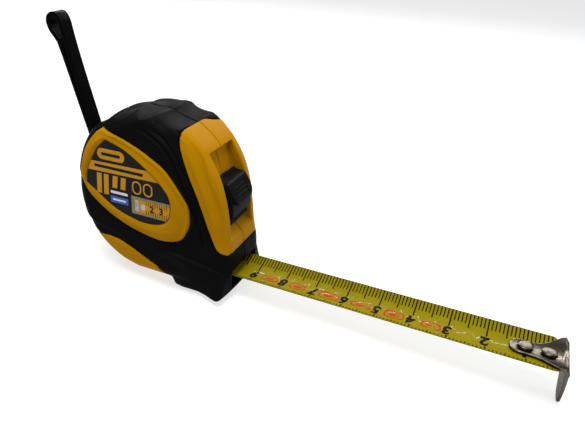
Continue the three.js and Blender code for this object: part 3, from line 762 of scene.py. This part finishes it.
# the drop plate's edge seen from the front, (y, z), from its near top corner to its tip
DROP_EDGE = [(-7.5, 7.2), (-7.5, 2.9), (-6.7, 0.2), (-5.3, -3.4), (-3.6, -6.5), (-2.2, -7.75), (0, -8.1)]


def build_hook():
    """A sprung steel plate: it lies on the blade's curve, flares to the blade's width and folds down."""
    x1, y1, z1 = grid(FINE, (106.4, 124.6), (-8.3, 8.3), (-9.2, 8.4))
    XX, YY, ZZ = x1[:, None, None], y1[None, :, None], z1[None, None, :]
    px, py = np.meshgrid(x1, y1, indexing="ij")
    qy, qz = np.meshgrid(y1, z1, indexing="ij")
    plan = np.vstack([HOOK_PLAN, [(120.2, 7.55), (124, 7.55), (124, -1), (107.1, -1)]])
    over = nearest(px, np.abs(py), plan, True)[:, :, None]
    mid = blade_top(np.clip(py, -7.7, 7.7)) + HOOK_GAP + HOOK_THICK / 2
    mid = mid + (5.15 + 0.004 * py ** 2 - mid) * smooth(FOLD_START, FOLD_END, px)
    along, across = np.gradient(mid, FINE)
    plate = np.abs(ZZ - mid[:, :, None]) / np.sqrt(1 + along ** 2 + across ** 2)[:, :, None] - HOOK_THICK / 2
    plate = smax(smax(plate, over, 0.35), XX - FOLD_END, 0.5)
    lean = DROP_X + HOOK_LEAN * np.maximum(4.2 - ZZ, 0)
    side = DROP_EDGE + [(-y, z) for y, z in DROP_EDGE[-2::-1]]
    drop = smax(np.abs(XX - lean) - DROP_HALF_THICK, nearest(qy, qz, side, True)[None, :, :], 0.35)
    drop = smax(drop, (ZZ - mid[:, :, None]) - 0.4, 0.5)
    hook = smin(plate, drop, 0.5)
    for x in RIVETS:            # slots, so that the hook can shift on its rivets
        hole = np.hypot(np.maximum(np.abs(XX - x - 0.4) - 0.4, 0), YY) - 1.25
        hook = smax(hook, -hole, 0.15)
    co, faces = surface(hook, (x1[0], y1[0], z1[0]), FINE)
    obj = make_mesh("end_hook", co, faces)
    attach(obj, "hook")
    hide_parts("hook")
    return obj


def lathe(name, profile, x, y, z, segments=56):
    """A turned piece about an upright axis; the profile is (radius, height) from the bottom centre up."""
    co, faces = [(x, y, z + profile[0][1])], []
    for r, h in profile[1:-1]:
        turn = np.arange(segments) * 2 * math.pi / segments
        co += [(x + r * math.cos(a), y + r * math.sin(a), z + h) for a in turn]
    co.append((x, y, z + profile[-1][1]))
    rings = len(profile) - 2
    for i in range(segments):
        j = (i + 1) % segments
        faces.append((0, 1 + j, 1 + i))
        for r in range(rings - 1):
            a, b = 1 + r * segments, 1 + (r + 1) * segments
            faces.append((a + i, a + j, b + j, b + i))
        a = 1 + (rings - 1) * segments
        faces.append((a + i, a + j, len(co) - 1))
    return make_mesh(name, co, faces)


def build_rivet(x, name, node):
    """A shank through the blade and the hook, with a flat head below and a domed one above."""
    seat = float(blade_top(1.9)) + HOOK_GAP + HOOK_THICK + 0.18
    foot = EDGE_Z - SAG - THICK
    tail = [(0, -0.75), (1.35, -0.75), (1.5, -0.6), (1.5, -0.05), (0.95, -0.04)]
    head = [(0.95, 0), (1.8, 0), (1.92, 0.12), (1.92, 0.42), (1.86, 0.56), (1.7, 0.66), (1.4, 0.7),
            (0.6, 0.72), (0, 0.72)]
    profile = [(r, foot + h) for r, h in tail] + [(r, seat + h) for r, h in head]
    obj = lathe(name, profile, x, 0, 0)
    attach(obj, "blade")
    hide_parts(node)
    return obj


hook = build_hook()
rivets = [build_rivet(x, f"rivet_{end}", f"hook_rivet_{end}") for x, end in zip(RIVETS, ("front", "rear"))]

# ======================================== labels


def clip(points, keep):
    """The part of an outline where keep(point) is positive."""
    out = []
    for a, b in zip(points, np.roll(points, -1, 0)):
        fa, fb = keep(a), keep(b)
        if fa >= 0:
            out.append(a)
        if (fa >= 0) != (fb >= 0):
            out.append(a + (b - a) * fa / (fa - fb))
    return np.array(out)


LABEL_MID = LABEL.mean(0)
LABEL_IN = LABEL_MID + (LABEL - LABEL_MID) * 0.985      # clear of its pocket's wall
LABEL_Y, SHEET_THICK, PRINT_THICK = 16.15, 0.4, 0.03


def label_piece(name, flats, level, far_side, thick):
    """Flat shapes printed on a label, (x, z) in the side view, lying level millimetres above it."""
    out = 1 if far_side else -1
    turned = []
    for co, faces, rim in flats:
        top = np.stack([co[:, 0], np.full(len(co), out * (LABEL_Y + level)), co[:, 1]], 1)
        if far_side:
            faces, rim = [tuple(reversed(f)) for f in faces], [(b, a) for a, b in rim]
        turned.append((top, faces, rim))
    obj = printed(name, turned, (0, -out * thick, 0))
    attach(obj, "case")
    return obj


def shape(outline):
    """A filled outline as triangles, whatever its shape."""
    x, z = outline.T
    if np.sum(x * np.roll(z, -1) - z * np.roll(x, -1)) < 0:
        outline = outline[::-1]
    tris = tessellate_polygon([[Vector((p[0], p[1], 0)) for p in outline]])
    fixed = []
    for a, b, c in tris:
        (ux, uz), (vx, vz) = outline[b] - outline[a], outline[c] - outline[a]
        fixed.append((a, b, c) if ux * vz - uz * vx > 0 else (a, c, b))
    n = len(outline)
    return outline, fixed, [(i, (i + 1) % n) for i in range(n)]


def moved(part, x, z, flip=False):
    """A flat shape in its place, turned over first if it has to read from the far side."""
    co, faces, rim = part
    if flip:
        co, faces, rim = co * (-1, 1), [tuple(reversed(f)) for f in faces], [(b, a) for a, b in rim]
    return co + (x, z), faces, rim


def label_bar(width, height, corner, x, z):
    return moved(fan(rounded_bar(width, height, corner)), x, z)


def label_end(low_x, low_z, high_z):
    """The part of the label past low_x and between two heights."""
    part = clip(LABEL_IN, lambda p: p[0] - low_x)
    return clip(clip(part, lambda p: p[1] - low_z), lambda p: high_z - p[1])


def build_label(far_side):
    """The sheet and its prints, plain shapes and a scale, as (piece, finish)."""
    band = clip(clip(LABEL_IN, lambda p: p[1] - 37.0 - 0.02 * p[0]), lambda p: 40.3 + 0.02 * p[0] - p[1])
    yellow = [shape(band), label_bar(10.6, 3.7, 1.8, -13.6, 42.9)]
    for x, low in ((-20.0, 28.8), (-17.2, 28.8), (-13.6, 31.8), (-10.4, 31.8)):
        yellow.append(shape(np.array([(x - 0.2, low), (x + 1.7, low), (x + 2.2, 36.0), (x + 0.3, 36.0)])))
    for x in (-4.2, 0.0):
        ring = outline_ring(rounded_bar(3.5, 4.6, 1.74, 8), rounded_bar(2.5, 3.6, 1.24, 8))
        yellow.append(moved(ring, x, 33.7))
    marks = [label_bar(0.22, 1.1 if i % 5 else 1.8, 0.1, -1.7 + 0.85 * i, z)
             for i in range(1, 11) for z in (29.0, 25.8)]
    for text, x in (("2", 1.2), ("3", 4.7)):
        marks.append(moved(glyph(text, 3.1, 0, 0.1), x, 27.4, far_side))
    prints = [("sheet", "label_black", 0, [shape(LABEL_IN)]),
              ("yellow", "print_yellow", 1, yellow),
              ("dark", "label_black", 2, [label_bar(7.4, 1.0, 0.45, -13.6, 42.9),
                                          label_bar(19, 1.0, 0.45, -11.0, 38.5)]),
              ("blue", "print_blue", 1, [label_bar(7.0, 2.3, 0.15, -11.3, 27.7)]),
              ("white", "print_white", 2, [label_bar(5.2, 0.6, 0.25, -11.3, 27.7),
                                           label_bar(6.8, 0.9, 0.4, -11.2, 30.3)]),
              ("window", "print_frame", 1, [shape(label_end(-6.5, 24.4, 30.6))]),
              ("scale", "print_yellow", 2, [shape(label_end(-3.4, 25.2, 29.6))]),
              ("hook", "print_silver", 3, [label_bar(1.5, 4.2, 0.5, -4.4, 27.4),
                                           label_bar(1.7, 2.2, 0.8, -2.0, 27.4)]),
              ("marks", "label_black", 3, marks)]
    tag = "far" if far_side else "near"
    pieces = []
    for part, look, level, flats in prints:
        thick = PRINT_THICK if level else SHEET_THICK
        pieces.append((label_piece(f"label_{part}_{tag}", flats, level * PRINT_THICK, far_side, thick), look))
    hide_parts("label_right" if far_side else "label_left")
    return pieces


label_pieces = build_label(False) + build_label(True)

# ======================================== strap

STRAP_LEAN = math.radians(18)      # backwards from upright
STRAP_THICK, STRAP_HALF = 1.32, 2.68

# the strap's middle line seen from the side, (across it, along it), from the pin
STRAP_LINE = spline([(0.0, -1.95), (1.6, -1.2), (1.95, 0.3), (1.3, 3.6), (0.8, 8), (0.95, 20), (1.35, 34),
                     (1.7, 41), (2.1, 45.6), (2.2, 48.4), (1.4, 50.4), (-0.3, 51.0), (-1.9, 50.5),
                     (-2.7, 48.8), (-2.5, 46.4), (-1.3, 43.4), (-0.8, 40), (-0.75, 20), (-0.78, 8),
                     (-1.3, 3.6), (-1.95, 0.3), (-1.6, -1.2)], True, 6)


def build_strap():
    """Two legs folded over the pin below and round a small eye above."""
    step = 0.16
    a1, y1, b1 = grid(step, (-4.6, 4.6), (-3.3, 3.3), (-3.6, 52.6))
    A, B = np.meshgrid(a1, b1, indexing="ij")
    V = np.abs(y1)[None, :, None]
    mid = np.abs(nearest(A, B, STRAP_LINE, True))
    rim = 0.1 * wave(V, 2.2, 0.25) - 0.1 * wave(V, 1.75, 0.3)
    field = smax(mid[:, None, :] - STRAP_THICK / 2 - rim, V - STRAP_HALF, 0.35)
    co, faces = surface(field, (a1[0], y1[0], b1[0]), step)
    x = STRAP_PIN[0] + co[:, 0] * math.cos(STRAP_LEAN) - co[:, 2] * math.sin(STRAP_LEAN)
    z = STRAP_PIN[1] + co[:, 0] * math.sin(STRAP_LEAN) + co[:, 2] * math.cos(STRAP_LEAN)
    strap = make_mesh("wrist_strap", np.stack([x, co[:, 1], z], 1), faces)
    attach(strap, "strap")
    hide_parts("strap")
    return strap


strap = build_strap()

# ======================================== finishes

MIX_FACTOR, MIX_A, MIX_B, MIX_OUT = 0, 6, 7, 2      # a Mix node's sockets when it mixes colours
COAT_ROUGH = 0.06


def set_inputs(node, values):
    for socket, value in values.items():
        node.inputs[socket].default_value = value


class Finish:
    """A Principled material with its own mottling, roughness breakup and relief."""

    def __init__(self, name, color, rough, metal=0.0, specular=0.12, coat=0.0, edge=1.0):
        self.name = name
        self.material = bpy.data.materials.new(name)
        self.material.use_nodes = True
        self.nodes = self.material.node_tree.nodes
        self.links = self.material.node_tree.links
        self.shader = self.nodes["Principled BSDF"]
        set_inputs(self.shader, {"Metallic": metal, "Specular IOR Level": specular,
                                 "Specular Tint": (edge, edge, edge, 1),
                                 "Coat Weight": coat, "Coat Roughness": COAT_ROUGH})
        self.place = self.nodes.new("ShaderNodeTexCoord").outputs["Object"]
        self.color, self.rough = color, rough
        self.height = None

    def noise(self, scale, detail=3.0, stretch=(1, 1, 1)):
        mapping = self.nodes.new("ShaderNodeMapping")
        set_inputs(mapping, {"Scale": stretch})
        self.links.new(self.place, mapping.inputs["Vector"])
        noise = self.nodes.new("ShaderNodeTexNoise")
        set_inputs(noise, {"Scale": scale, "Detail": detail})
        self.links.new(mapping.outputs["Vector"], noise.inputs["Vector"])
        return noise.outputs["Fac"]

    def span(self, value, low, high, start=0.3, end=0.7):
        node = self.nodes.new("ShaderNodeMapRange")
        set_inputs(node, {"From Min": start, "From Max": end, "To Min": low, "To Max": high})
        self.links.new(value, node.inputs["Value"])
        return node.outputs["Result"]

    def mottle(self, scale, amount, stretch=(1, 1, 1)):
        mix = self.nodes.new("ShaderNodeMix")
        mix.data_type = "RGBA"
        set_inputs(mix, {MIX_A: [c * (1 - amount) for c in self.color] + [1],
                         MIX_B: [min(1, c * (1 + amount)) for c in self.color] + [1]})
        self.links.new(self.span(self.noise(scale, 4, stretch), 0, 1), mix.inputs[MIX_FACTOR])
        self.links.new(mix.outputs[MIX_OUT], self.shader.inputs["Base Color"])
        return self

    def wear(self, scale, amount, stretch=(1, 1, 1)):
        value = self.span(self.noise(scale, 5, stretch), self.rough - amount, self.rough + amount)
        self.links.new(value, self.shader.inputs["Roughness"])
        return self

    def relief(self, scale, height, detail=2.0, stretch=(1, 1, 1)):
        bump = self.nodes.new("ShaderNodeBump")
        set_inputs(bump, {"Distance": height * MM})
        self.links.new(self.noise(scale, detail, stretch), bump.inputs["Height"])
        if self.height:
            self.links.new(self.height, bump.inputs["Normal"])
        self.height = bump.outputs["Normal"]
        self.links.new(self.height, self.shader.inputs["Normal"])
        return self


def ink(name, color, patchy, grain=200, height=0.005, specular=0.12):
    """A thin printed film."""
    finish = Finish(name, color, 0.4, specular=specular)
    return finish.mottle(grain, patchy).wear(90, 0.05).relief(800, height)


FINISHES = {finish.name: finish for finish in (
    Finish("shell_yellow", (0.348, 0.16, 0.0003), 0.44, specular=0.02)
    .mottle(60, 0.05).wear(120, 0.05).relief(900, 0.02),
    Finish("rubber_black", (0.0036, 0.0036, 0.0037), 0.5, specular=0.014)
    .mottle(90, 0.18).wear(150, 0.07).relief(2400, 0.035).relief(140, 0.03),
    Finish("button_black", (0.004, 0.004, 0.0042), 0.42, specular=0.02)
    .mottle(150, 0.15).wear(200, 0.06).relief(2600, 0.02),
    Finish("strap_black", (0.0018, 0.0018, 0.0019), 0.42, specular=0.015)
    .mottle(150, 0.15).wear(100, 0.08, (1, 1, 0.2)).relief(1500, 0.02, 2, (1, 1, 0.15)),
    Finish("label_black", (0.0065, 0.006, 0.0055), 0.35, specular=0.07)
    .mottle(80, 0.1).wear(90, 0.05).relief(800, 0.006),
    ink("print_yellow", (0.44, 0.21, 0.002), 0.06),
    ink("print_blue", (0.03, 0.09, 0.38), 0.06),
    ink("print_white", (0.6, 0.6, 0.58), 0.05),
    ink("print_frame", (0.2, 0.16, 0.07), 0.2),
    ink("print_silver", (0.36, 0.36, 0.34), 0.3, grain=300),
    ink("ink_black", (0.005, 0.005, 0.004), 0.15, grain=300, height=0.004, specular=0.02),
    ink("ink_red", (0.34, 0.012, 0.004), 0.1, grain=300, height=0.004, specular=0.04),
    Finish("lacquer", (0.185, 0.148, 0.001), 0.35, specular=0.02, coat=0.09)
    .mottle(60, 0.05, (0.3, 1, 1)).wear(90, 0.06, (0.3, 1, 1)).relief(500, 0.006),
    Finish("nickel", (0.118, 0.102, 0.082), 0.3, metal=1.0, edge=0.35)
    .mottle(140, 0.06).wear(260, 0.04, (0.3, 1, 1)).relief(500, 0.0006, 1),
    Finish("zinc_steel", (0.46, 0.46, 0.45), 0.36, metal=1.0)
    .mottle(300, 0.12).wear(300, 0.1).relief(1200, 0.01),
    Finish("spring_steel", (0.2, 0.23, 0.28), 0.34, metal=1.0)
    .mottle(120, 0.12).wear(200, 0.08, (1, 0.1, 1)).relief(700, 0.01),
    Finish("spool_white", (0.62, 0.62, 0.58), 0.45)
    .mottle(60, 0.04).wear(90, 0.06).relief(900, 0.02),
)}


def finish_piece(obj, name):
    obj.data.materials.clear()
    obj.data.materials.append(FINISHES[name].material)


PIECE_LOOKS = {
    "shell_yellow": [shell_left, shell_right],
    "rubber_black": [rubber_left, rubber_right],
    "button_black": [button],
    "strap_black": [strap],
    "nickel": [hook] + rivets,
    "lacquer": [tape],
    "ink_black": tape_prints[:2],
    "ink_red": tape_prints[2:],
}
NODE_LOOKS = {
    "nickel": ["hook", "hook_rivet_front", "hook_rivet_rear"],
    "zinc_steel": ["arbor", "strap_pin"] + [f"case_screw_{i}" for i in range(1, 5)],
    "spring_steel": ["mainspring"],
    "spool_white": ["spool", "spool_cover"],
    "lacquer": ["tape_coil", "tape_lead", "blade"],
    "button_black": ["lock_brake", "lock_button"],
    "shell_yellow": ["case_left", "case_right"],
    "rubber_black": ["grip_left", "grip_right"],
    "label_black": ["label_left", "label_right"],
    "strap_black": ["strap"],
}
for look, pieces in PIECE_LOOKS.items():
    for obj in pieces:
        finish_piece(obj, look)
for obj, look in label_pieces:
    finish_piece(obj, look)
for look, nodes in NODE_LOOKS.items():
    for node in nodes:
        finish_piece(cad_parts[node], look)

# ======================================== camera

CAMERA_AT = Vector((93.7, -150.8, 109.2)) * MM
CAMERA_AZIMUTH = math.radians(29.57)
CAMERA_ELEVATION = math.radians(27.83)
CAMERA_ROLL = math.radians(0.25)
LENS, SHIFT_X, SHIFT_Y = 35.44, 0.1648, 0.0127


def make_camera():
    data = bpy.data.cameras.new("camera")
    data.sensor_width = 36
    data.lens = LENS
    data.shift_x, data.shift_y = SHIFT_X, SHIFT_Y
    data.clip_start = 0.005
    data.clip_end = 10
    camera = add_object("camera", data)
    camera.location = CAMERA_AT
    turn = Matrix.Rotation(CAMERA_AZIMUTH, 4, "Z")
    tilt = Matrix.Rotation(math.pi / 2 - CAMERA_ELEVATION, 4, "X")
    roll = Matrix.Rotation(-CAMERA_ROLL, 4, "Z")
    camera.matrix_world = Matrix.Translation(CAMERA_AT) @ turn @ tilt @ roll
    scene.camera = camera


make_camera()

# ======================================== stage and light

FLOOR_HALF = 3.0
PAPER_GREY, PAPER_GLOW = 0.3, 0.72       # together white, with soft shadows
WORLD_LIGHT = 0.12
REST_X = -0.008                          # where the curved rear of the base rests


def make_stage():
    """White paper under the base and the hook's tip, which reaches lower, so it slopes a little."""
    slope = math.atan2(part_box("hook")[0].z, ZERO * MM - REST_X)
    h = FLOOR_HALF
    mesh = bpy.data.meshes.new("floor")
    mesh.from_pydata([(-h, -h, 0), (h, -h, 0), (h, h, 0), (-h, h, 0)], [], [(0, 1, 2, 3)])
    floor = add_object("floor", mesh)
    floor.matrix_world = Matrix.Translation((REST_X, 0, 0)) @ Matrix.Rotation(-slope, 4, "Y")
    material = bpy.data.materials.new("floor_paper")
    material.use_nodes = True
    set_inputs(material.node_tree.nodes["Principled BSDF"], {
        "Base Color": (PAPER_GREY, PAPER_GREY, PAPER_GREY, 1), "Roughness": 0.9, "Specular IOR Level": 0.1,
        "Emission Color": (1, 1, 1, 1), "Emission Strength": PAPER_GLOW})
    mesh.materials.append(material)


def area_light(name, at, aim, size, power, size_y=None):
    data = bpy.data.lights.new(name, "AREA")
    data.energy = power
    data.size = size
    if size_y:
        data.shape = "RECTANGLE"
        data.size_y = size_y
    light = add_object(name, data)
    light.location = at
    light.rotation_euler = (Vector(aim) - Vector(at)).to_track_quat("-Z", "Y").to_euler()


# name, place, aim, size, power in watts, and the other size if it isn't square
LIGHTS = [
    ("overhead", (0.02, -0.16, 0.68), (0.03, 0, 0.02), 0.35, 6.0),
    ("front", (0.5, 0.24, 0.3), (0.03, 0, 0.02), 0.3, 1.0),
    ("strip", (-0.05, 0.46, 0.33), (0.05, 0, 0.01), 0.7, 2.8, 0.015),     # its glare runs along the blade
]


def make_light():
    world = bpy.data.worlds.new("studio")
    world.use_nodes = True
    set_inputs(world.node_tree.nodes["Background"], {"Color": (1, 1, 1, 1), "Strength": WORLD_LIGHT})
    scene.world = world
    for light in LIGHTS:
        area_light(*light)
    scene.view_settings.view_transform = "Standard"


make_stage()
make_light()
